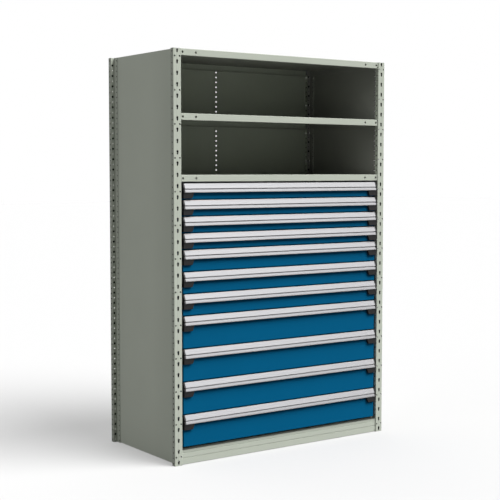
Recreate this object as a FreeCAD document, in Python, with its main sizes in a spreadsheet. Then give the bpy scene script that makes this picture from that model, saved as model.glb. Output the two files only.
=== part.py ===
import FreeCAD, Part
import math
import os
import re
import Sketcher

# Shelving unit with eleven drawers. Millimetres, +Z up, the front faces -Y.
# The origin is on the floor, at the middle of the unit's box.
# Shapes are drawn from the plane of the post faces and then set back to that origin.

doc = FreeCAD.newDocument("shelving_unit")
sheet = doc.addObject("Spreadsheet::Sheet", "Dims")

SIZES = {
    # whole frame, measured over the posts
    "overall_width": 1264,
    "overall_depth": 607,
    "upper_bay": 290.3,
    "lower_bay": 279.2,
    # post section: a box behind the face and a double stem behind the box
    "post_width": 41,
    "post_sheet": 1.6,
    "post_bend": 2,
    "post_box": 24,
    "post_reach": 56,
    # keyhole slots down the middle of each post face
    "slot_pitch": 50.8,
    "slot_first": 10.2,
    "slot_length": 19.6,
    "slot_head": 10,
    "slot_tail": 7.2,
    # pairs of small holes in each post face
    "pair_pitch": 152.4,
    "pair_first": 35.6,
    "pair_spread": 26.4,
    "pair_hole": 8,
    # rows of holes in the side walls, and in the stem and the panel it holds
    "row_pitch": 25.4,
    "row_first": 15.2,
    "wall_row": 11.4,
    "wall_hole": 8.4,
    "stem_row": 8,
    "stem_hole": 7,
    # holes in the two step faces between box and stem
    "step_first": 36.3,
    "step_hole": 11,
    "step_small_hole": 5,
    # side panels, held between the two leaves of the stems
    "side_sheet": 1,
    "side_lap": 26,
    "panel_clearance": 0.3,
    "panel_lift": 3,
    # back panels, which lap at the middle
    "back_sheet": 1,
    "back_inset": 1,
    "back_play": 0.3,
    "back_hem": 7,
    "back_lap": 25,
    "seam_first": 12.7,
    "seam_hole": 8.4,
    # shelves
    "shelf_sheet": 1.5,
    "shelf_lip": 31.2,
    "shelf_return": 12,
    "shelf_bend": 2,
    "shelf_setback": 4,
    "shelf_end_gap": 2.5,
    "shelf_corner_gap": 0.5,
    "shelf_back_gap": 1,
    "lip_hole": 10.4,
    "lip_hole_near": 52,
    "lip_hole_far": 123,
    # shelf clips
    "clip_sheet": 1.5,
    "clip_height": 24,
    "clip_tab": 16,
    "clip_length": 13,
    "clip_start": 9.5,
    "clip_play": 0.3,
    # base front, a strip with two creases
    "base_top": 68.2,
    "base_lift": 2,
    "base_sheet": 1.5,
    "base_setback": 5,
    "base_lean": 0.9,
    "base_flange": 10,
    "base_end_gap": 0.5,
    "base_shelf_drop": 1.5,
    "base_shelf_setback": 19,
    "crease_high": 54.6,
    "crease_low": 30.4,
    "crease_depth": 1.4,
    "crease_rise": 2,
    "crease_fall": 0.3,
    # drawer stack
    "module_small": 76.2,
    "module_medium": 101.6,
    "module_large": 152.4,
    "stack_gap": 9.3,
    "stack_clearance": 7.6,
    # drawer front
    "front_gap": 11.5,
    "front_setback": 7.6,
    "front_depth": 16,
    "front_sheet": 1.5,
    "front_foot": 4.7,
    "front_head": 1.5,
    "front_bend": 1.2,
    # drawer box
    "tray_sheet": 1.5,
    "tray_foot": 9,
    "tray_head": 9,
    "tray_rear_gap": 41,
    # three-part slides
    "slide_height": 34,
    "slide_gap": 0.5,
    "rail_play": 0.3,
    "rail_sheet": 2,
    "rail_depth": 13,
    "rail_inner": 36,
    "rail_front_gap": 4.4,
    "rail_rear_gap": 36,
    "rail_ear": 12,
    "carrier_sheet": 3,
    "carrier_height": 38,
    "carrier_short": 13,
    "carrier_corner": 8,
    "roller_play": 0.3,
    "roller_side_play": 0.5,
    "roller_chamfer": 0.8,
    "roller_first": 22,
    "roller_second": 200,
    "stud": 8,
    "stud_play": 0.15,
    "stud_head": 12,
    "stud_head_sheet": 0.6,
    # handle section, from its top edge down
    "handle_height": 41.8,
    "handle_reach": 9.7,
    "handle_sheet": 2,
    "handle_top_setback": 5.1,
    "handle_front_play": 0.2,
    "band_height": 23,
    "band_reach": 6.2,
    "groove_height": 5,
    "groove_depth": 4.5,
    "groove_slope": 0.6,
    "groove_reach": 3.7,
    "handle_leg": 26,
    "handle_web": 7.5,
    "handle_foot": 3.6,
    "handle_nose": 1.5,
    # end cap with its block under the handle
    "cap_sheet": 2,
    "cap_end": 4.5,
    "cap_wrap": 13,
    "cap_play": 0.3,
    "block_width": 54,
    "block_height": 26,
    "block_slant": 10,
    "block_reach": 3.8,
}

for row, (alias, size) in enumerate(SIZES.items(), start=1):
    sheet.set(f"A{row}", alias)
    sheet.set(f"B{row}", str(size))
    sheet.setAlias(f"B{row}", alias)
doc.recompute()

# Named places, as formulas of the sizes. Heights are above the floor, depths are behind
# the post faces, and half widths are from the middle of the unit.
FACE = "(handle_reach - overall_depth) / 2"
DRAWERS = ["module_small"] * 4 + ["module_medium"] * 3 + ["module_large"] * 4
STACK_BOTTOM = "(base_top + stack_gap)"
STACK_TOP = "(" + " + ".join([STACK_BOTTOM] + DRAWERS) + ")"
COVER_TOP = f"({STACK_TOP} + stack_clearance + shelf_lip)"
MIDDLE_TOP = f"({COVER_TOP} + lower_bay)"
HEIGHT = f"({MIDDLE_TOP} + upper_bay)"
BASE_SHELF_TOP = f"({STACK_BOTTOM} - base_shelf_drop)"

POST_MIDDLE = "(overall_width / 2 - post_width / 2)"
POST_WALL = "(overall_width / 2 - post_width)"
STEM_INNER = "(side_sheet / 2 + panel_clearance)"
STEM_OUTER = f"({STEM_INNER} + post_sheet)"

FRONT_END = f"({POST_WALL} - front_gap)"
RAIL_OUTER = f"({POST_WALL} - rail_play)"
RAIL_TIP = f"({RAIL_OUTER} - rail_depth)"
CARRIER_OUTER = f"({RAIL_TIP} - slide_gap)"
CARRIER_INNER = f"({CARRIER_OUTER} - carrier_sheet)"
CHANNEL_TIP = f"({CARRIER_INNER} - slide_gap)"
RACE = "(slide_gap + rail_depth - rail_sheet)"
TRAY_SIDE = f"({CARRIER_INNER} - {RACE})"

FRONT_BACK = "(front_setback + front_depth)"
RAIL_START = f"({FRONT_BACK} + rail_front_gap)"
RAIL_END = "(overall_depth - rail_rear_gap)"
CARRIER_END = f"({RAIL_END} - carrier_short)"
TRAY_END = "(overall_depth - tray_rear_gap)"
BACK_FRONT = "(overall_depth - back_inset - 2 * back_sheet - back_play)"
BLOCK_TOP = "(-handle_height - cap_play)"
BLOCK_BOTTOM = "(-handle_height - block_height)"
BLOCK_BACK = "(front_setback - cap_play)"
CAP_INNER = f"({FRONT_END} + cap_play)"
HANDLE_END = f"({FRONT_END} - cap_end - cap_play)"

WORD = re.compile(r"\b[a-z]\w+\b(?!\()")


def linked(formula):
    """Points each size named in a formula at its spreadsheet cell."""
    return WORD.sub(lambda found: "Dims." + found.group(0), formula)


def bind(thing, place, formula):
    thing.setExpression(place, linked(formula))


def value(thing, formula):
    """The present value of a formula, used to start a sketch near its solution."""
    return float(thing.evalExpression(linked(formula)))


def origin_part(body, role):
    return next(part for part in body.Origin.OriginFeatures if part.Role == role)


def new_body(name):
    body = doc.addObject("PartDesign::Body", name)
    bind(body, "Placement.Base.y", FACE)
    return body


def new_sketch(body, name, plane, offset="0"):
    """A sketch on an origin plane of the body, moved along the plane's normal by offset."""
    sketch = body.newObject("Sketcher::SketchObject", name)
    sketch.AttachmentSupport = (origin_part(body, plane), "")
    sketch.MapMode = "FlatFace"
    bind(sketch, "AttachmentOffset.Base.z", offset)
    return sketch


def pin_point(sketch, geometry, point, x, y):
    """Ties one point of a sketch to two formulas, measured from the sketch's origin."""
    for kind, formula in (("DistanceX", x), ("DistanceY", y)):
        start = value(sketch, formula)
        index = sketch.addConstraint(Sketcher.Constraint(kind, -1, 1, geometry, point, start))
        bind(sketch, f"Constraints[{index}]", formula)


def size_circle(sketch, kind, geometry, formula):
    start = value(sketch, formula)
    index = sketch.addConstraint(Sketcher.Constraint(kind, geometry, start))
    bind(sketch, f"Constraints[{index}]", formula)


def add_outline(sketch, corners):
    """A closed outline of straight lines through corners, each a pair of formulas."""
    places = [FreeCAD.Vector(value(sketch, x), value(sketch, y), 0) for x, y in corners]
    count = len(corners)
    lines = []
    for number in range(count):
        line = Part.LineSegment(places[number], places[(number + 1) % count])
        lines.append(sketch.addGeometry(line, False))
    for number in range(count):
        following = lines[(number + 1) % count]
        sketch.addConstraint(Sketcher.Constraint("Coincident", lines[number], 2, following, 1))
    for line, (x, y) in zip(lines, corners):
        pin_point(sketch, line, 1, x, y)


def add_box(sketch, x_low, y_low, x_high, y_high):
    add_outline(sketch, [(x_low, y_low), (x_high, y_low), (x_high, y_high), (x_low, y_high)])


def add_circle(sketch, x, y, diameter):
    centre = FreeCAD.Vector(value(sketch, x), value(sketch, y), 0)
    circle = Part.Circle(centre, FreeCAD.Vector(0, 0, 1), value(sketch, diameter) / 2)
    geometry = sketch.addGeometry(circle, False)
    pin_point(sketch, geometry, 3, x, y)
    size_circle(sketch, "Diameter", geometry, diameter)


def add_pad(body, name, profile, length, backwards=False, both_ways=False):
    pad = body.newObject("PartDesign::Pad", name)
    pad.Profile = profile
    pad.Reversed = backwards
    pad.Midplane = both_ways
    bind(pad, "Length", length)
    return pad


def add_pocket(body, name, profile, length):
    """A pocket against the sketch's normal."""
    pocket = body.newObject("PartDesign::Pocket", name)
    pocket.Profile = profile
    bind(pocket, "Length", length)
    return pocket


def add_through_pocket(body, name, profile):
    pocket = body.newObject("PartDesign::Pocket", name)
    pocket.Profile = profile
    pocket.Type = "ThroughAll"
    pocket.Midplane = True
    return pocket


def repeat_down(body, name, feature, pitch, run):
    """Copies of a cut at a pitch, as many as the run below the first one holds."""
    pattern = body.newObject("PartDesign::LinearPattern", name)
    pattern.Originals = [feature]
    pattern.Direction = (origin_part(body, "Z_Axis"), [""])
    pattern.Reversed = True
    pattern.Mode = "Spacing"
    bind(pattern, "Offset", pitch)
    bind(pattern, "Occurrences", f"floor(({run}) / ({pitch})) + 1")
    body.Tip = pattern
    return pattern


def add_fillet(body, name, base, radius, wanted, along=None):
    """Rounds the base's straight edges whose middle is wanted and that run in one direction."""
    doc.recompute()
    names = []
    for number, edge in enumerate(base.Shape.Edges, start=1):
        if not isinstance(edge.Curve, Part.Line) or not wanted(edge.CenterOfMass):
            continue
        if along is None or near(abs(edge.Curve.Direction.dot(FreeCAD.Vector(*along))), 1):
            names.append(f"Edge{number}")
    fillet = body.newObject("PartDesign::Fillet", name)
    fillet.Base = (base, names)
    bind(fillet, "Radius", radius)
    body.Tip = fillet
    return fillet


def near(a, b):
    return abs(a - b) < 1e-6


def mirrored(name, source, normal, base_y="0"):
    mirror = doc.addObject("Part::Mirroring", name)
    mirror.Source = source
    mirror.Normal = normal
    bind(mirror, "Base.y", base_y)
    return mirror


def placed(name, sources, x="0", y="0", z="0"):
    """A copy of the sources as one object with a Placement of its own."""
    copy = doc.addObject("Part::Compound", name)
    copy.Links = sources
    bind(copy, "Placement.Base.x", x)
    bind(copy, "Placement.Base.y", y)
    bind(copy, "Placement.Base.z", z)
    return copy


def make_post(name):
    """The left front post: box, stem and all rows of slots and holes."""
    body = new_body(name)
    bind(body, "Placement.Base.x", f"-{POST_MIDDLE}")

    section = new_sketch(body, "post_section", "XY_Plane")
    half = [
        ("post_width / 2", "0"),
        ("post_width / 2", "post_box"),
        (STEM_OUTER, "post_box"),
        (STEM_OUTER, "post_reach"),
        (STEM_INNER, "post_reach"),
        (STEM_INNER, "post_box - post_sheet"),
        ("post_width / 2 - post_sheet", "post_box - post_sheet"),
        ("post_width / 2 - post_sheet", "post_sheet"),
    ]
    add_outline(section, half + [(f"-({x})", y) for x, y in reversed(half)])
    column = add_pad(body, "post_column", section, HEIGHT)
    side = value(body, "post_width / 2")
    add_fillet(body, "post_bends", column, "post_bend",
               lambda middle: near(abs(middle.x), side), (0, 0, 1))

    slot = new_sketch(body, "slot_outline", "XZ_Plane")
    add_slot(slot, f"{HEIGHT} - slot_first")
    slot_cut = add_pocket(body, "slot_cut", slot, "2 * post_sheet")
    repeat_down(body, "slot_row", slot_cut, "slot_pitch", f"{HEIGHT} - slot_first - slot_length / 2")

    pair = new_sketch(body, "pair_circles", "XZ_Plane")
    for sign in ("", "-"):
        add_circle(pair, f"{sign}pair_spread / 2", f"{HEIGHT} - pair_first", "pair_hole")
    pair_cut = add_pocket(body, "pair_cut", pair, "2 * post_sheet")
    repeat_down(body, "pair_row", pair_cut, "pair_pitch", f"{HEIGHT} - pair_first - pair_hole")

    rows = new_sketch(body, "row_circles", "YZ_Plane")
    add_circle(rows, "wall_row", f"{HEIGHT} - row_first", "wall_hole")
    add_circle(rows, "post_reach - stem_row", f"{HEIGHT} - row_first", "stem_hole")
    rows_cut = add_through_pocket(body, "row_cut", rows)
    repeat_down(body, "hole_rows", rows_cut, "row_pitch", f"{HEIGHT} - row_first - wall_hole")

    steps = new_sketch(body, "step_circles", "XZ_Plane", "-(post_box - 2 * post_sheet)")
    for sign in ("", "-"):
        middle = f"{sign}(post_width / 2 + {STEM_OUTER}) / 2"
        add_circle(steps, middle, f"{HEIGHT} - step_first", "step_hole")
        add_circle(steps, middle, f"{HEIGHT} - step_first - row_pitch", "step_small_hole")
    steps_cut = add_pocket(body, "step_cut", steps, "3 * post_sheet")
    repeat_down(body, "step_row", steps_cut, "2 * row_pitch",
                f"{HEIGHT} - step_first - row_pitch - step_small_hole")
    return body


def add_slot(sketch, middle):
    """A keyhole slot that tapers from a round head to a smaller round tail."""
    head_place = f"{middle} + slot_length / 2 - slot_head / 2"
    tail_place = f"{middle} - slot_length / 2 + slot_tail / 2"
    head_radius = value(sketch, "slot_head / 2")
    tail_radius = value(sketch, "slot_tail / 2")
    head_centre = FreeCAD.Vector(0, value(sketch, head_place), 0)
    tail_centre = FreeCAD.Vector(0, value(sketch, tail_place), 0)
    lean = math.asin((head_radius - tail_radius) / (head_centre.y - tail_centre.y))
    up = FreeCAD.Vector(0, 0, 1)
    head_arc = Part.ArcOfCircle(Part.Circle(head_centre, up, head_radius), -lean, math.pi + lean)
    tail_arc = Part.ArcOfCircle(Part.Circle(tail_centre, up, tail_radius),
                                math.pi + lean, 2 * math.pi - lean)
    head = sketch.addGeometry(head_arc, False)
    tail = sketch.addGeometry(tail_arc, False)
    left = sketch.addGeometry(Part.LineSegment(head_arc.EndPoint, tail_arc.StartPoint), False)
    right = sketch.addGeometry(Part.LineSegment(tail_arc.EndPoint, head_arc.StartPoint), False)
    for first, second in ((head, left), (left, tail), (tail, right), (right, head)):
        sketch.addConstraint(Sketcher.Constraint("Tangent", first, 2, second, 1))
    size_circle(sketch, "Radius", head, "slot_head / 2")
    size_circle(sketch, "Radius", tail, "slot_tail / 2")
    pin_point(sketch, head, 3, "0", head_place)
    pin_point(sketch, tail, 3, "0", tail_place)


def make_side_panel(name):
    """The left side panel, a plain sheet between the leaves of two stems, with their holes."""
    body = new_body(name)
    outline = new_sketch(body, name + "_outline", "YZ_Plane", f"-({POST_MIDDLE} + side_sheet / 2)")
    edge = "(post_reach - side_lap)"
    add_box(outline, edge, "panel_lift", f"overall_depth - {edge}", HEIGHT)
    add_pad(body, name + "_sheet", outline, "side_sheet")
    holes = new_sketch(body, name + "_circles", "YZ_Plane")
    row = "(post_reach - stem_row)"
    for depth in (row, f"overall_depth - {row}"):
        add_circle(holes, depth, f"{HEIGHT} - row_first", "stem_hole")
    holes_cut = add_through_pocket(body, name + "_cut", holes)
    repeat_down(body, name + "_rows", holes_cut, "row_pitch", f"{HEIGHT} - row_first - wall_hole")
    return body


def make_back_panel(name, side, rear):
    """One back panel. side is -1 or 1, rear is the depth of its outer surface."""
    body = new_body(name)
    outer = f"{side} * ({POST_WALL} - back_play)"
    hem = f"{side} * ({POST_WALL} - back_play - back_sheet)"
    lap = f"{-side} * back_lap / 2"
    section = new_sketch(body, name + "_section", "XY_Plane", "panel_lift")
    add_outline(section, [
        (lap, rear),
        (outer, rear),
        (outer, f"{rear} - back_hem"),
        (hem, f"{rear} - back_hem"),
        (hem, f"{rear} - back_sheet"),
        (lap, f"{rear} - back_sheet"),
    ])
    add_pad(body, name + "_sheet", section, f"{HEIGHT} - panel_lift")
    seam = new_sketch(body, name + "_circle", "XZ_Plane")
    add_circle(seam, "0", f"{HEIGHT} - seam_first", "seam_hole")
    seam_cut = add_through_pocket(body, name + "_cut", seam)
    repeat_down(body, name + "_seam", seam_cut, "row_pitch",
                f"{HEIGHT} - panel_lift - seam_first - seam_hole")
    return body


def make_shelf(name, top, setback):
    """A shelf pan: a deck notched round the posts, with lips on all four sides."""
    body = new_body(name)
    narrow = f"({POST_WALL} - shelf_end_gap)"
    wide = f"({POST_MIDDLE} - {STEM_OUTER} - shelf_corner_gap)"
    notch = "(post_box + shelf_corner_gap)"
    rear = f"({BACK_FRONT} - shelf_back_gap)"
    rear_notch = f"(overall_depth - {notch})"
    right = [
        (narrow, setback),
        (narrow, notch),
        (wide, notch),
        (wide, rear_notch),
        (narrow, rear_notch),
        (narrow, rear),
    ]
    deck = new_sketch(body, name + "_deck_outline", "XY_Plane", f"{top} - shelf_sheet")
    add_outline(deck, right + [(f"-{x}", y) for x, y in reversed(right)])
    add_pad(body, name + "_deck", deck, "shelf_sheet")

    lips = new_sketch(body, name + "_lip_sections", "YZ_Plane")
    for edge, inward in ((setback, ""), (rear, "-")):
        inner = f"{edge} + ({inward}shelf_sheet)"
        folded = f"{edge} + ({inward}shelf_return)"
        add_outline(lips, [
            (edge, top),
            (edge, f"{top} - shelf_lip"),
            (folded, f"{top} - shelf_lip"),
            (folded, f"{top} - shelf_lip + shelf_sheet"),
            (inner, f"{top} - shelf_lip + shelf_sheet"),
            (inner, top),
        ])
    add_pad(body, name + "_lips", lips, f"2 * {narrow}", both_ways=True)

    sides = new_sketch(body, name + "_side_sections", "XY_Plane", f"{top} - shelf_lip")
    add_box(sides, f"-{wide}", notch, f"-{wide} + shelf_sheet", rear_notch)
    add_box(sides, f"{wide} - shelf_sheet", notch, wide, rear_notch)
    folded_sheet = add_pad(body, name + "_side_lips", sides, "shelf_lip")

    height = value(body, top)
    low = value(body, f"{top} - shelf_lip")
    edges = (value(body, setback), value(body, rear))
    add_fillet(body, name + "_bends", folded_sheet, "shelf_bend",
               lambda middle: (near(middle.z, height) or near(middle.z, low))
               and any(near(middle.y, edge) for edge in edges), (1, 0, 0))

    holes = new_sketch(body, name + "_circles", "XZ_Plane")
    for sign in ("", "-"):
        for from_side in ("lip_hole_near", "lip_hole_far"):
            add_circle(holes, f"{sign}(overall_width / 2 - {from_side})",
                       f"{top} - shelf_lip / 2", "lip_hole")
    body.Tip = add_through_pocket(body, name + "_holes", holes)
    return body


def make_clip_set(name, start):
    """The clips of one shelf, one per post, with the shelf's top at height zero."""
    clip = new_body(name)
    section = new_sketch(clip, name + "_section", "XZ_Plane", f"-{start}")
    wall = f"-({POST_WALL} - clip_play)"
    top = "-(shelf_sheet + clip_play)"
    add_outline(section, [
        (wall, top),
        (f"{wall} + clip_tab", top),
        (f"{wall} + clip_tab", f"{top} - clip_sheet"),
        (f"{wall} + clip_sheet", f"{top} - clip_sheet"),
        (f"{wall} + clip_sheet", f"{top} - clip_height"),
        (wall, f"{top} - clip_height"),
    ])
    add_pad(clip, name + "_strip", section, "clip_length", backwards=True)
    right = mirrored(name + "_right", clip, (1, 0, 0))
    front = placed(name + "s_front", [clip, right])
    back = mirrored(name + "s_back", front, (0, 1, 0), "handle_reach / 2")
    return placed(name + "_set", [front, back])


def make_base_front(name):
    """The creased strip between the front posts, which leans out at its top and has a flange at its bottom."""
    body = new_body(name)
    section = new_sketch(body, "base_section", "YZ_Plane")
    outer = [("base_setback", "base_lift")]
    for crease in ("crease_low", "crease_high"):
        outer.append(("base_setback", f"{crease} - crease_fall"))
        outer.append(("base_setback + crease_depth", crease))
        outer.append(("base_setback", f"{crease} + crease_rise"))
    outer.append(("base_setback - base_lean", "base_top"))
    inner = [(f"{y} + base_sheet", z) for y, z in reversed(outer[1:])]
    flange = "base_setback + base_flange"
    bottom_fold = [
        ("base_setback + base_sheet", "base_lift + base_sheet"),
        (flange, "base_lift + base_sheet"),
        (flange, "base_lift"),
    ]
    add_outline(section, outer + inner + bottom_fold)
    add_pad(body, "base_strip", section, f"2 * ({POST_WALL} - base_end_gap)", both_ways=True)
    return body


def make_rail():
    """The left fixed rail, a channel open to the drawer, with an ear on each post."""
    body = new_body("rail")
    web = f"-{RAIL_OUTER}"
    tip = f"-{RAIL_TIP}"
    bottom = "-(rail_inner / 2 + rail_sheet)"
    top = "rail_inner / 2 + rail_sheet"
    channel = new_sketch(body, "rail_section", "XZ_Plane", f"-{RAIL_START}")
    add_outline(channel, [
        (web, bottom),
        (tip, bottom),
        (tip, "-rail_inner / 2"),
        (f"{web} + rail_sheet", "-rail_inner / 2"),
        (f"{web} + rail_sheet", "rail_inner / 2"),
        (tip, "rail_inner / 2"),
        (tip, top),
        (web, top),
    ])
    add_pad(body, "rail_channel", channel, f"{RAIL_END} - {RAIL_START}", backwards=True)
    ears = new_sketch(body, "rail_ear_section", "XZ_Plane", "-rail_ear")
    add_box(ears, web, bottom, f"{web} + rail_sheet", top)
    add_pad(body, "rail_web", ears, "overall_depth - 2 * rail_ear", backwards=True)
    return body


def make_carrier():
    """The left carrier: a bar with two rollers in the fixed rail and two in the drawer's channel."""
    body = new_body("carrier_bar")
    bar = new_sketch(body, "carrier_outline", "YZ_Plane", f"-{CARRIER_OUTER}")
    add_box(bar, RAIL_START, "-carrier_height / 2", CARRIER_END, "carrier_height / 2")
    plate = add_pad(body, "carrier_plate", bar, "carrier_sheet")
    half = value(body, "carrier_height / 2")
    add_fillet(body, "carrier_corners", plate, "carrier_corner",
               lambda middle: near(abs(middle.z), half), (1, 0, 0))

    outer_rollers = [f"{CARRIER_END} - roller_first", f"{CARRIER_END} - roller_second"]
    inner_rollers = [f"{RAIL_START} + roller_first", f"{RAIL_START} + roller_second"]
    stud_length = f"({RACE} - roller_side_play)"
    for name, face, depths, outward in (
            ("outer", f"-{CARRIER_OUTER}", outer_rollers, True),
            ("inner", f"-{CARRIER_INNER}", inner_rollers, False)):
        circles = new_sketch(body, name + "_stud_circles", "YZ_Plane", face)
        for depth in depths:
            add_circle(circles, depth, "0", "stud")
        add_pad(body, name + "_studs", circles, stud_length, backwards=outward)
        sign = "-" if outward else "+"
        heads = new_sketch(body, name + "_head_circles", "YZ_Plane",
                           f"{face} {sign} ({stud_length} - stud_head_sheet)")
        for depth in depths:
            add_circle(heads, depth, "0", "stud_head")
        add_pad(body, name + "_heads", heads, "stud_head_sheet", backwards=outward)

    roller = make_roller()
    parts = [body]
    for number, depth in enumerate(outer_rollers):
        parts.append(placed(f"outer_roller_{number}", [roller],
                            f"-{CARRIER_OUTER} - roller_side_play - {ROLLER_WIDTH}", depth))
    for number, depth in enumerate(inner_rollers):
        parts.append(placed(f"inner_roller_{number}", [roller],
                            f"-{CARRIER_INNER} + roller_side_play", depth))
    return placed("carrier", parts)


ROLLER_WIDTH = f"({RACE} - 3 * roller_side_play - stud_head_sheet)"


def make_roller():
    """A roller that turns on a stud, with its left face at x = 0."""
    body = new_body("roller")
    ring = new_sketch(body, "roller_circles", "YZ_Plane")
    add_circle(ring, "0", "0", "rail_inner - 2 * roller_play")
    add_circle(ring, "0", "0", "stud + 2 * stud_play")
    add_pad(body, "roller_ring", ring, ROLLER_WIDTH)
    return body


def make_tray(name, module):
    """A drawer box with its blue front, over a module whose bottom is at height zero."""
    body = new_body(name)
    head = f"({module} - tray_head)"
    walls = new_sketch(body, name + "_walls", "XY_Plane", "tray_foot")
    add_box(walls, f"-{TRAY_SIDE}", FRONT_BACK, TRAY_SIDE, TRAY_END)
    add_box(walls, f"-({TRAY_SIDE} - tray_sheet)", f"{FRONT_BACK} + tray_sheet",
            f"{TRAY_SIDE} - tray_sheet", f"{TRAY_END} - tray_sheet")
    add_pad(body, name + "_box", walls, f"{head} - tray_foot")
    floor = new_sketch(body, name + "_floor", "XY_Plane", "tray_foot")
    add_box(floor, f"-{TRAY_SIDE}", FRONT_BACK, TRAY_SIDE, TRAY_END)
    add_pad(body, name + "_bottom", floor, "tray_sheet")

    flanges = new_sketch(body, name + "_flanges", "XZ_Plane", f"-{FRONT_BACK}")
    for low in ("slide_height + rail_inner / 2", "slide_height - rail_inner / 2 - tray_sheet"):
        add_box(flanges, f"-{CHANNEL_TIP}", low, f"-{TRAY_SIDE}", f"{low} + tray_sheet")
        add_box(flanges, TRAY_SIDE, low, CHANNEL_TIP, f"{low} + tray_sheet")
    add_pad(body, name + "_channels", flanges, f"{TRAY_END} - {FRONT_BACK}", backwards=True)

    plate = new_sketch(body, name + "_plate", "XZ_Plane", f"-{FRONT_BACK}")
    add_box(plate, f"-{FRONT_END}", "tray_foot", FRONT_END, head)
    add_pad(body, name + "_front_wall", plate, "tray_sheet", backwards=True)

    top = f"({module} - front_head)"
    folds = new_sketch(body, name + "_folds", "XZ_Plane", "-front_setback")
    add_outline(folds, [
        (f"-{FRONT_END}", "front_foot"),
        (f"-{FRONT_END} + front_sheet", "front_foot"),
        (f"-{FRONT_END} + front_sheet", f"{top} - front_sheet"),
        (f"{FRONT_END} - front_sheet", f"{top} - front_sheet"),
        (f"{FRONT_END} - front_sheet", "front_foot"),
        (FRONT_END, "front_foot"),
        (FRONT_END, top),
        (f"-{FRONT_END}", top),
    ])
    add_pad(body, name + "_front_folds", folds, "front_depth", backwards=True)
    front = new_sketch(body, name + "_front", "XZ_Plane", "-front_setback")
    add_box(front, f"-{FRONT_END}", "front_foot", FRONT_END, top)
    face = add_pad(body, name + "_front_sheet", front, "front_sheet", backwards=True)
    setback = value(body, "front_setback")
    add_fillet(body, name + "_front_bends", face, "front_bend",
               lambda middle: near(middle.y, setback))
    return body


def make_handle():
    """The handle extrusion: a sloped band, a groove and a lower band, on a flat leg."""
    body = new_body("handle")
    section = new_sketch(body, "handle_section", "YZ_Plane")
    back = "(front_setback - handle_front_play)"
    groove_back = "(-band_reach + groove_depth)"
    groove_bottom = "(-band_height - groove_height)"
    add_outline(section, [
        (back, "0"),
        ("handle_top_setback", "0"),
        ("-band_reach", "-band_height"),
        (groove_back, "-band_height - groove_slope"),
        (groove_back, f"{groove_bottom} + groove_slope"),
        ("-groove_reach", groove_bottom),
        ("-handle_reach", "-handle_height"),
        ("-handle_reach + handle_foot", "-handle_height"),
        (f"{groove_back} + handle_sheet", groove_bottom),
        (f"{groove_back} + handle_sheet", "-band_height"),
        (f"{back} - handle_sheet", "-handle_web"),
        (f"{back} - handle_sheet", "-handle_leg"),
        (back, "-handle_leg"),
    ])
    bar = add_pad(body, "handle_bar", section, f"2 * {HANDLE_END}", both_ways=True)
    low = value(body, "-handle_height")
    add_fillet(body, "handle_nose_bends", bar, "handle_nose",
               lambda middle: near(middle.z, low), (1, 0, 0))
    return body


def make_end_cap():
    """The left end cap: a plate outside the drawer front, an end for the handle, and a block under it."""
    body = new_body("end_cap")
    outside = f"-{CAP_INNER} - cap_sheet"
    wrap = "(front_setback + cap_wrap)"
    profile = [
        ("handle_top_setback", "0"),
        ("-band_reach", "-band_height"),
        ("-groove_reach", "-band_height - groove_height"),
        ("-handle_reach", "-handle_height"),
        ("-block_reach", BLOCK_TOP),
    ]
    side = new_sketch(body, "cap_outline", "YZ_Plane", outside)
    foot = [("-block_reach", BLOCK_BOTTOM), (wrap, BLOCK_BOTTOM)]
    add_outline(side, [(wrap, "0")] + profile + foot)
    add_pad(body, "cap_plate", side, "cap_sheet")
    end = new_sketch(body, "cap_end_outline", "YZ_Plane", outside)
    add_outline(end, [(BLOCK_BACK, "0")] + profile + [(BLOCK_BACK, BLOCK_TOP)])
    add_pad(body, "cap_end_fill", end, "cap_sheet + cap_play + cap_end")
    block = new_sketch(body, "block_outline", "XZ_Plane", "block_reach")
    add_outline(block, [
        (f"-{CAP_INNER}", BLOCK_BOTTOM),
        (f"-{FRONT_END} + block_width - block_slant", BLOCK_BOTTOM),
        (f"-{FRONT_END} + block_width", BLOCK_TOP),
        (f"-{CAP_INNER}", BLOCK_TOP),
    ])
    add_pad(body, "cap_block", block, f"{BLOCK_BACK} + block_reach", backwards=True)
    return body


# Frame
nodes = []
front_left = make_post("post_front_left")
rear_left = mirrored("post_rear_left", front_left, (0, 1, 0), "handle_reach / 2")
nodes.append(front_left)
nodes.append(mirrored("post_front_right", front_left, (1, 0, 0)))
nodes.append(rear_left)
nodes.append(mirrored("post_rear_right", rear_left, (1, 0, 0)))

side_panel = make_side_panel("side_panel_left")
nodes.append(side_panel)
nodes.append(mirrored("side_panel_right", side_panel, (1, 0, 0)))
nodes.append(make_back_panel("back_panel_left", -1, "(overall_depth - back_inset)"))
nodes.append(make_back_panel("back_panel_right", 1,
                             "(overall_depth - back_inset - back_sheet - back_play)"))

SHELVES = [
    ("top_shelf", HEIGHT, "shelf_setback"),
    ("middle_shelf", MIDDLE_TOP, "shelf_setback"),
    ("drawer_cover_shelf", COVER_TOP, "shelf_setback"),
    ("base_shelf", BASE_SHELF_TOP, "base_shelf_setback"),
]
clip_set = make_clip_set("shelf_clip", "clip_start")
base_clip_set = make_clip_set("base_clip", "(base_shelf_setback + shelf_sheet + clip_play)")
clips = []
for shelf_name, shelf_top, shelf_front in SHELVES:
    nodes.append(make_shelf(shelf_name, shelf_top, shelf_front))
    used_set = base_clip_set if shelf_name == "base_shelf" else clip_set
    clips.append(placed(shelf_name + "_clips", [used_set], z=shelf_top))
nodes.append(placed("shelf_clips", clips))
nodes.append(make_base_front("base_front"))

# Drawers, from the bottom of the stack up, numbered from the top down
rail = make_rail()
carrier = make_carrier()
carrier_right = mirrored("carrier_right", carrier, (1, 0, 0))
handle = make_handle()
end_cap = make_end_cap()
end_cap_right = mirrored("end_cap_right", end_cap, (1, 0, 0))
trays = {module: make_tray(module + "_tray", module) for module in dict.fromkeys(DRAWERS)}

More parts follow.
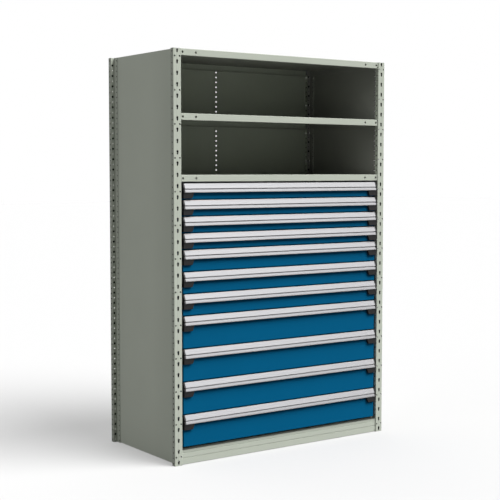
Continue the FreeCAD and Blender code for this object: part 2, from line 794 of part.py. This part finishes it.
rails = []
bottom = STACK_BOTTOM
for number, module in reversed(list(enumerate(DRAWERS, start=1))):
    drawer = f"drawer_{number:02d}"
    slide = f"{bottom} + slide_height"
    top = f"({bottom} + {module})"
    nodes.append(placed(drawer + "_tray", [trays[module]], z=bottom))
    nodes.append(placed(drawer + "_handle", [handle], z=top))
    nodes.append(placed(drawer + "_end_caps", [end_cap, end_cap_right], z=top))
    nodes.append(placed(drawer + "_carriers", [carrier, carrier_right], z=slide))
    rails.append(placed(drawer + "_rail", [rail], z=slide))
    bottom = top

rails_left = placed("slide_rails_left", rails)
nodes.append(rails_left)
nodes.append(mirrored("slide_rails_right", rails_left, (1, 0, 0)))

doc.recompute()

for thing in doc.Objects:
    if "Invalid" in thing.State or "Error" in thing.State:
        raise RuntimeError(f"{thing.Name} failed: {thing.State}")

os.makedirs("parts", exist_ok=True)
for node in nodes:
    node.Label = node.Name
    if node.Shape.isNull() or not node.Shape.isValid() or not node.Shape.Solids:
        raise RuntimeError(f"{node.Name} has no valid shape")
for node in nodes:
    node.Shape.exportStep(f"parts/{node.Label}.step")
print(len(nodes), "nodes,", sum(len(node.Shape.Solids) for node in nodes), "solids")
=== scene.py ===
import math

import bpy
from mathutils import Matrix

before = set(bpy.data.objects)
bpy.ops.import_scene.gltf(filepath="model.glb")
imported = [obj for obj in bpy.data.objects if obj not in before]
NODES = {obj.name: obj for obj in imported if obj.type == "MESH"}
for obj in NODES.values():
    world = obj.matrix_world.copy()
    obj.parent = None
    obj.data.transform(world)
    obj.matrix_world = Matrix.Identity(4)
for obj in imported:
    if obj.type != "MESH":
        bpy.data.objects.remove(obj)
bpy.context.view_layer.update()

# Colours as they look on screen, from 0 to 255
FRAME_PAINT = (193, 199, 186)
BLUE_PAINT = (5, 92, 133)
ALUMINIUM = (150, 150, 152)
CAP_BLACK = (20, 20, 21)
ZINC = (150, 153, 156)
# Painted shade: a near black put in hollows and holes
PAINTED_SHADE_DARK = (18, 18, 17)
# Painted shade: a grey put on faces that look into the unit, down or sideways
PAINTED_SHADE_GREY = (152, 152, 148)
FLOOR_SEEN = (178, 178, 178)
FLOOR_LIT = (100, 100, 100)
WHITE = (1, 1, 1, 1)

# Places in the frame, in metres
FRONT_Y = -0.29865
MIDDLE_Y = 0.00485
HALF_DEPTH = 0.3035
POST_X = 0.6115

# Places on the posts: across from a post's middle, or back from the faces of the unit
BOX_INSIDE_ACROSS = 0.0192
BOX_INSIDE_DEPTH = (0.0003, 0.023)
STEM_HOLE_DEPTH = (0.0435, 0.0525)
POST_STEM_ACROSS = 0.00225
PANEL_ACROSS = 0.00045
FACE_DEPTH = 0.02

# Distances from the unit's middle plane
INNER_WALL_X = 0.6093
INNER_PANEL_X = 0.6112
STEM_X = (0.6126, 0.615)
OUTER_WALL_X = 0.6315

# Along the side panels, behind the front, where painted shade fades out
PANEL_SHADE_Y = (FRONT_Y + 0.05, FRONT_Y + 0.23)

# Heights and depth at the base, where shade is painted
LIP_BACK_Y = FRONT_Y + 0.022
LIP_SHADE_Z = (0.062, 0.076)
EDGE_SHADE_Z = (0.06, 0.0682)
CREASE_Z = (0.03, 0.037)


def linear(colour):
    """A screen colour as linear light, with alpha."""
    def channel(c):
        c /= 255
        return c / 12.92 if c <= 0.04045 else ((c + 0.055) / 1.055) ** 2.4
    return tuple(channel(c) for c in colour) + (1,)


def shaded(colour, factor):
    return tuple(c * factor for c in colour[:3]) + (1,)


class Nodes:
    """Short calls for building a node tree."""

    def __init__(self, tree):
        self.tree = tree

    def add(self, kind, **settings):
        node = self.tree.nodes.new(kind)
        for key, value in settings.items():
            if hasattr(node, key):
                setattr(node, key, value)
            else:
                node.inputs[key].default_value = value
        return node

    def join(self, out, node, socket):
        self.tree.links.new(out, node.inputs[socket])

    def fill(self, node, socket, value):
        """Set an input to a value, or join an output to it."""
        if isinstance(value, (int, float, tuple)):
            node.inputs[socket].default_value = value
        else:
            self.join(value, node, socket)

    def coordinate(self, kind):
        return self.add("ShaderNodeTexCoord").outputs[kind]

    def parts(self, vector):
        """The x, y and z of a vector."""
        split = self.add("ShaderNodeSeparateXYZ")
        self.join(vector, split, "Vector")
        return split.outputs

    def scaled(self, vector, factors):
        mapping = self.add("ShaderNodeMapping")
        mapping.inputs["Scale"].default_value = factors
        self.join(vector, mapping, "Vector")
        return mapping.outputs[0]

    def noise(self, place, scale, detail=2.0, roughness=0.5):
        node = self.add("ShaderNodeTexNoise", Scale=scale, Detail=detail, Roughness=roughness)
        self.join(place, node, "Vector")
        return node.outputs["Fac"]

    def ramp(self, factor, low, high, low_value, high_value):
        node = self.add("ShaderNodeMapRange")
        node.inputs["From Min"].default_value = low
        node.inputs["From Max"].default_value = high
        node.inputs["To Min"].default_value = low_value
        node.inputs["To Max"].default_value = high_value
        self.join(factor, node, "Value")
        return node.outputs[0]

    def math(self, operation, *values):
        node = self.add("ShaderNodeMath", operation=operation)
        for index, value in enumerate(values):
            self.fill(node, index, value)
        return node.outputs[0]

    def size(self, value, middle=0.0):
        """How far a value is from a middle, without its sign."""
        return self.math("ABSOLUTE", self.math("SUBTRACT", value, middle) if middle else value)

    def between(self, value, limits):
        """1 where a value lies between two limits, else 0."""
        low, high = limits
        return self.math("COMPARE", value, (low + high) / 2, (high - low) / 2)

    def mix(self, factor, a, b):
        node = self.add("ShaderNodeMix", data_type="RGBA")
        self.join(factor, node, "Factor")
        self.fill(node, 6, a)
        self.fill(node, 7, b)
        return node.outputs[2]

    def bump(self, height, strength, distance, below):
        node = self.add("ShaderNodeBump", Strength=strength, Distance=distance)
        self.join(height, node, "Height")
        self.join(below, node, "Normal")
        return node.outputs[0]

    def rounded(self, radius):
        """A normal that rounds sharp edges when the surface is lit."""
        return self.add("ShaderNodeBevel", samples=4, Radius=radius).outputs[0]

    def seen(self):
        """1 for rays that reach the camera straight, in a gloss or through glass."""
        path = self.add("ShaderNodeLightPath").outputs
        direct = self.math("MAXIMUM", path["Is Camera Ray"], path["Is Glossy Ray"])
        return self.math("MAXIMUM", direct, path["Is Transmission Ray"])


class MaterialNodes(Nodes):
    """The node tree of a new material, with the place in the frame at hand."""

    def __init__(self, name):
        self.material = bpy.data.materials.new(name)
        self.material.use_nodes = True
        super().__init__(self.material.node_tree)
        self.shader = self.tree.nodes["Principled BSDF"]
        self.place = self.coordinate("Object")
        self.x, self.y, self.z = self.parts(self.place)

    def streaks(self, factors, detail, roughness):
        return self.noise(self.scaled(self.place, factors), 1.0, detail, roughness)

    def finish(self, colour, roughness, normal, metallic=0.0, specular=0.5):
        self.join(colour, self.shader, "Base Color")
        self.join(roughness, self.shader, "Roughness")
        self.join(normal, self.shader, "Normal")
        self.shader.inputs["Metallic"].default_value = metallic
        self.shader.inputs["Specular IOR Level"].default_value = specular
        return self.material


# Where near-black shade is painted: each gives the share of that painted shade

def dark_shade_in_posts(nodes, stem_across=POST_STEM_ACROSS):
    """Painted shade: 1 inside the posts' boxes and in the holes through their stems."""
    across = nodes.size(nodes.size(nodes.x), POST_X)
    depth = nodes.math("SUBTRACT", HALF_DEPTH, nodes.size(nodes.y, MIDDLE_Y))
    box = nodes.math("MULTIPLY", nodes.math("LESS_THAN", across, BOX_INSIDE_ACROSS),
                     nodes.between(depth, BOX_INSIDE_DEPTH))
    stem = nodes.math("MULTIPLY", nodes.math("LESS_THAN", across, stem_across),
                      nodes.between(depth, STEM_HOLE_DEPTH))
    return nodes.math("MAXIMUM", box, stem)


def dark_shade_in_panels(nodes):
    """Painted shade at the same places on the side panels, which lie in the stems."""
    return dark_shade_in_posts(nodes, PANEL_ACROSS)


def dark_shade_on_lip(nodes):
    """Painted shade, most of the way, on the bottom shelf's front lip, which stands close behind the
    base front; a little darker towards its top.
    """
    lip = nodes.math("LESS_THAN", nodes.y, LIP_BACK_Y)
    return nodes.math("MULTIPLY", lip, nodes.ramp(nodes.z, *LIP_SHADE_Z, 0.7, 0.8))


# Where grey shade is painted: each gives the share of that painted grey

def grey_shade_in_posts(nodes):
    """Painted shade: 1 on the posts' walls that look into the unit, behind their first few
    millimetres.
    """
    behind = nodes.math("LESS_THAN", nodes.size(nodes.y, MIDDLE_Y), HALF_DEPTH - FACE_DEPTH)
    return nodes.math("MULTIPLY", nodes.math("LESS_THAN", nodes.size(nodes.x), INNER_WALL_X), behind)


def grey_shade_in_panels(nodes):
    """Painted shade: 1 on the side panels' inner faces."""
    return nodes.math("LESS_THAN", nodes.size(nodes.x), INNER_PANEL_X)


def grey_shade_under_shelves(nodes):
    """Painted shade: 1 on the faces of the shelves that look down or sideways."""
    x, _, z = nodes.parts(nodes.coordinate("Normal"))
    return nodes.math("MAXIMUM", nodes.math("LESS_THAN", z, -0.5),
                      nodes.math("GREATER_THAN", nodes.size(x), 0.7))


# Where a darker tone of the coat stands in for shade: each gives the share of that painted shade

def shade_on_posts(nodes):
    """Painted shade: 1 on the posts' outer walls and half on their stems."""
    across = nodes.size(nodes.x)
    stem = nodes.math("MULTIPLY", nodes.between(across, STEM_X), 0.5)
    return nodes.math("MAXIMUM", nodes.math("GREATER_THAN", across, OUTER_WALL_X), stem)


def shade_on_panels(nodes):
    """A painted shade that fades out behind the front posts."""
    return nodes.ramp(nodes.y, *PANEL_SHADE_Y, 0.38, 0.0)


def shade_on_base(nodes):
    """A painted shade along the base front's upper edge, and a fainter one in its lower crease."""
    edge = nodes.ramp(nodes.z, *EDGE_SHADE_Z, 0.0, 0.9)
    crease = nodes.math("MULTIPLY", nodes.between(nodes.z, CREASE_Z), 0.3)
    return nodes.math("MAXIMUM", edge, crease)


def powder_paint_and_shade(name, colour, gloss=0.5, specular=0.1, dark_shade=None, grey_shade=None, shade=None):
    """Powder coat with a fine orange peel and faint clouds and flecks, and painted shade where a mask
    is given.
    """
    nodes = MaterialNodes(name)
    base = linear(colour)
    cloud = nodes.ramp(nodes.noise(nodes.place, 3.0, 3.0), 0.3, 0.7, 0.0, 1.0)
    tint = nodes.mix(cloud, shaded(base, 0.98), shaded(base, 1.02))
    fleck = nodes.ramp(nodes.noise(nodes.place, 700.0), 0.35, 0.65, 0.0, 0.05)
    tint = nodes.mix(fleck, tint, shaded(base, 0.6))
    # Painted shade: a darker tone of the coat
    if shade:
        tint = nodes.mix(shade(nodes), tint, shaded(base, 0.72))
    # Painted shade: a grey
    if grey_shade:
        tint = nodes.mix(grey_shade(nodes), tint, linear(PAINTED_SHADE_GREY))
    # Painted shade: a near black
    if dark_shade:
        tint = nodes.mix(dark_shade(nodes), tint, linear(PAINTED_SHADE_DARK))
    rough = nodes.ramp(nodes.noise(nodes.place, 25.0, 4.0), 0.3, 0.7, gloss - 0.04, gloss + 0.05)
    peel = nodes.bump(nodes.noise(nodes.place, 420.0, 2.0, 0.45), 0.12, 0.0004, nodes.rounded(0.0011))
    return nodes.finish(tint, rough, peel, specular=specular)


def anodised_and_shade(name, colour):
    """Anodised extrusion, with faint die lines along its length and painted shade on its lower edge.
    """
    nodes = MaterialNodes(name)
    base = linear(colour)
    lines = nodes.streaks((2.0, 900.0, 900.0), 3.0, 0.6)
    tint = nodes.mix(nodes.ramp(lines, 0.3, 0.7, 0.0, 1.0), shaded(base, 0.95), shaded(base, 1.02))
    # Painted shade: darker towards the lower edge
    height = nodes.parts(nodes.coordinate("Generated"))[2]
    tint = nodes.mix(nodes.ramp(height, 0.06, 0.19, 1.0, 0.0), tint, shaded(base, 0.75))
    rough = nodes.ramp(lines, 0.3, 0.7, 0.36, 0.46)
    normal = nodes.bump(lines, 0.08, 0.0002, nodes.rounded(0.0006))
    return nodes.finish(tint, rough, normal, metallic=0.15, specular=0.25)


def moulded(name, colour):
    """Moulded plastic with a fine spark-eroded grain."""
    nodes = MaterialNodes(name)
    base = linear(colour)
    cloud = nodes.ramp(nodes.noise(nodes.place, 30.0, 3.0), 0.3, 0.7, 0.0, 1.0)
    tint = nodes.mix(cloud, shaded(base, 0.85), shaded(base, 1.15))
    grain = nodes.noise(nodes.place, 1500.0, 3.0, 0.6)
    rough = nodes.ramp(grain, 0.3, 0.7, 0.42, 0.58)
    normal = nodes.bump(grain, 0.25, 0.0002, nodes.rounded(0.0012))
    return nodes.finish(tint, rough, normal, specular=0.25)


def zinc_plate(name, colour):
    """Zinc-plated strip with soft streaks from rolling."""
    nodes = MaterialNodes(name)
    base = linear(colour)
    cloud = nodes.ramp(nodes.noise(nodes.place, 14.0, 4.0), 0.35, 0.65, 0.0, 1.0)
    tint = nodes.mix(cloud, shaded(base, 0.9), shaded(base, 1.08))
    streak = nodes.streaks((60.0, 3.0, 160.0), 4.0, 0.6)
    rough = nodes.ramp(streak, 0.3, 0.7, 0.3, 0.46)
    normal = nodes.bump(streak, 0.1, 0.0002, nodes.rounded(0.0006))
    return nodes.finish(tint, rough, normal, metallic=0.85)


# Some coats below also carry painted shade besides the paint's own colour
back_paint = powder_paint_and_shade("frame_powder_coat", FRAME_PAINT)
post_paint_and_shade = powder_paint_and_shade("post_powder_coat_and_painted_shade", FRAME_PAINT, dark_shade=dark_shade_in_posts, grey_shade=grey_shade_in_posts,
                          shade=shade_on_posts)
panel_paint_and_shade = powder_paint_and_shade("panel_powder_coat_and_painted_shade", FRAME_PAINT, dark_shade=dark_shade_in_panels, grey_shade=grey_shade_in_panels,
                           shade=shade_on_panels)
shelf_paint_and_shade = powder_paint_and_shade("shelf_powder_coat_and_painted_shade", FRAME_PAINT, grey_shade=grey_shade_under_shelves)
base_paint_and_shade = powder_paint_and_shade("base_powder_coat_and_painted_shade", FRAME_PAINT, shade=shade_on_base)
base_shelf_paint_and_shade = powder_paint_and_shade("base_shelf_powder_coat_and_painted_shade", FRAME_PAINT, grey_shade=grey_shade_under_shelves,
                                dark_shade=dark_shade_on_lip)
blue_paint = powder_paint_and_shade("blue_powder_coat", BLUE_PAINT, gloss=0.42, specular=0.03)
handle_metal_and_shade = anodised_and_shade("anodised_aluminium_and_painted_shade", ALUMINIUM)
cap_plastic = moulded("cap_plastic", CAP_BLACK)
zinc = zinc_plate("zinc_plate", ZINC)

# A piece gets the material of the first row whose words are in its name
COATS = [
    ("_tray", blue_paint),
    ("_handle", handle_metal_and_shade),
    ("_end_caps", cap_plastic),
    ("_carriers", zinc),
    ("slide_rails", zinc),
    ("shelf_clips", zinc),
    ("post_", post_paint_and_shade),
    ("side_panel", panel_paint_and_shade),
    ("back_panel", back_paint),
    ("base_front", base_paint_and_shade),
    ("base_shelf", base_shelf_paint_and_shade),
    ("_shelf", shelf_paint_and_shade),
]
for name in NODES:
    coat = next(material for words, material in COATS if words in name)
    for slot in NODES[name].material_slots:
        slot.material = coat


def add_object(name, data):
    thing = bpy.data.objects.new(name, data)
    bpy.context.scene.collection.objects.link(thing)
    return thing


# Camera of the photograph
camera_data = bpy.data.cameras.new("camera")
camera_data.lens = 82.134
camera_data.sensor_width = 36
camera = add_object("camera", camera_data)
camera.location = (-3.3297, -4.7028, 1.3528)
camera.rotation_euler = (math.radians(90 - 3.955), 0, math.radians(-35.307))
bpy.context.scene.camera = camera

# Distant soft lamps: azimuth from the front to the right, elevation, size across and power
for name, azimuth, elevation, size, power in (
    ("key", 34, 50, 46, 4.6),
    ("side_fill", -94, 25, 60, 0.75),
    ("back_fill", 170, 55, 70, 0.9),
):
    lamp_data = bpy.data.lights.new(name, "SUN")
    lamp_data.energy = power
    lamp_data.angle = math.radians(size)
    lamp = add_object(name, lamp_data)
    lamp.rotation_euler = (math.radians(90 - elevation), 0, math.radians(azimuth))

# A pale floor that keeps shadows and looks near white to the camera, but throws little light
nodes = MaterialNodes("floor_pale")
seen = nodes.seen()
nodes.join(nodes.mix(seen, linear(FLOOR_LIT), linear(FLOOR_SEEN)), nodes.shader, "Base Color")
nodes.join(nodes.math("MULTIPLY", seen, 0.33), nodes.shader, "Emission Strength")
nodes.shader.inputs["Roughness"].default_value = 0.9
nodes.shader.inputs["Specular IOR Level"].default_value = 0.0
nodes.shader.inputs["Emission Color"].default_value = WHITE

reach = 40
corners = [(-reach, -reach, 0), (reach, -reach, 0), (reach, reach, 0), (-reach, reach, 0)]
mesh = bpy.data.meshes.new("floor")
mesh.from_pydata(corners, [], [(0, 1, 2, 3)])
mesh.materials.append(nodes.material)
floor = add_object("floor", mesh)
floor.location = (0, 0, -0.0005)

# A white surround that also throws little light
world = bpy.data.worlds.new("studio")
world.use_nodes = True
bpy.context.scene.world = world
nodes = Nodes(world.node_tree)
surround = nodes.tree.nodes["Background"]
surround.inputs["Color"].default_value = WHITE
nodes.join(nodes.ramp(nodes.seen(), 0.0, 1.0, 0.04, 1.0), surround, "Strength")

bpy.context.scene.view_settings.view_transform = "Standard"
